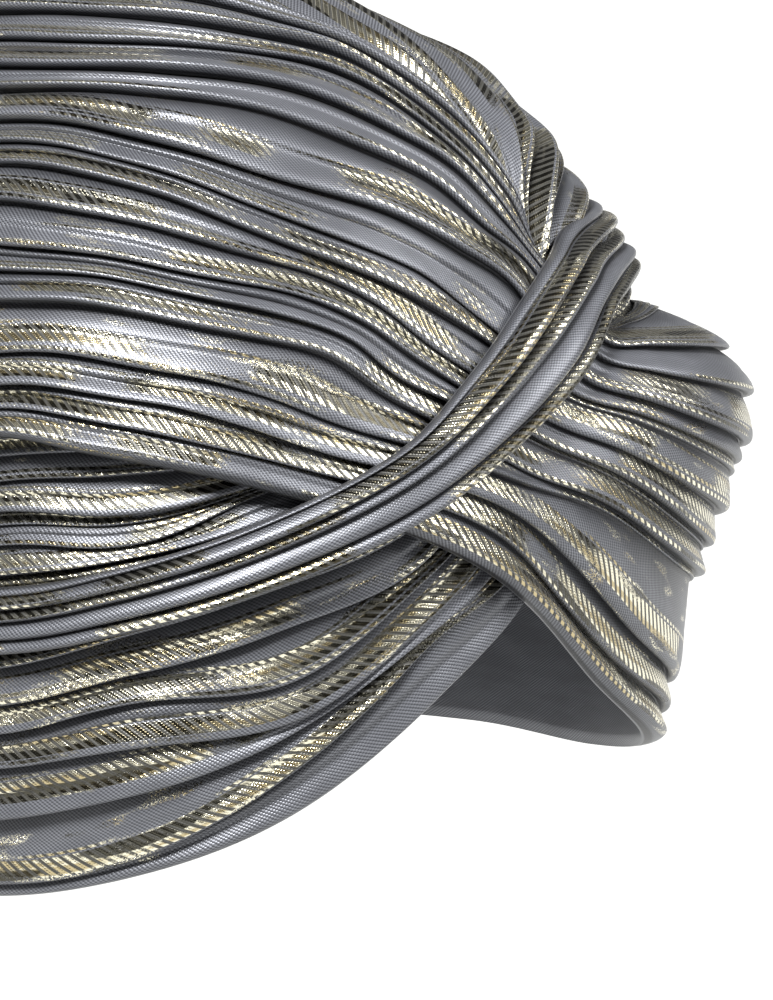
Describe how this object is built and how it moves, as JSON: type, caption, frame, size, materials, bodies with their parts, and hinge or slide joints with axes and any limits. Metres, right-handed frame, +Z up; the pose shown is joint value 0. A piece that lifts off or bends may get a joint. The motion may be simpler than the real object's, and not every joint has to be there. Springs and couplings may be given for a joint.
{
  "type": "turban hat",
  "caption": "Pleated turban hat of foil-printed satin whose wraps cross in a twist over the forehead, open below for the head.",
  "frame": {"origin": "centre of the head opening, at the height of the notch over the forehead", "axes": "+Z up through the crown, -Y towards the forehead, +X towards the wearer's left"},
  "size_m": [0.1893, 0.2142, 0.1767],
  "materials": {
    "foil_printed_satin": "pleated satin with a pale metallic foil print"
  },
  "bodies": {
    "root": {"under_wrap": "foil_printed_satin", "middle_wrap": "foil_printed_satin", "twist_strand": "foil_printed_satin"}
  },
  "joints": []
}
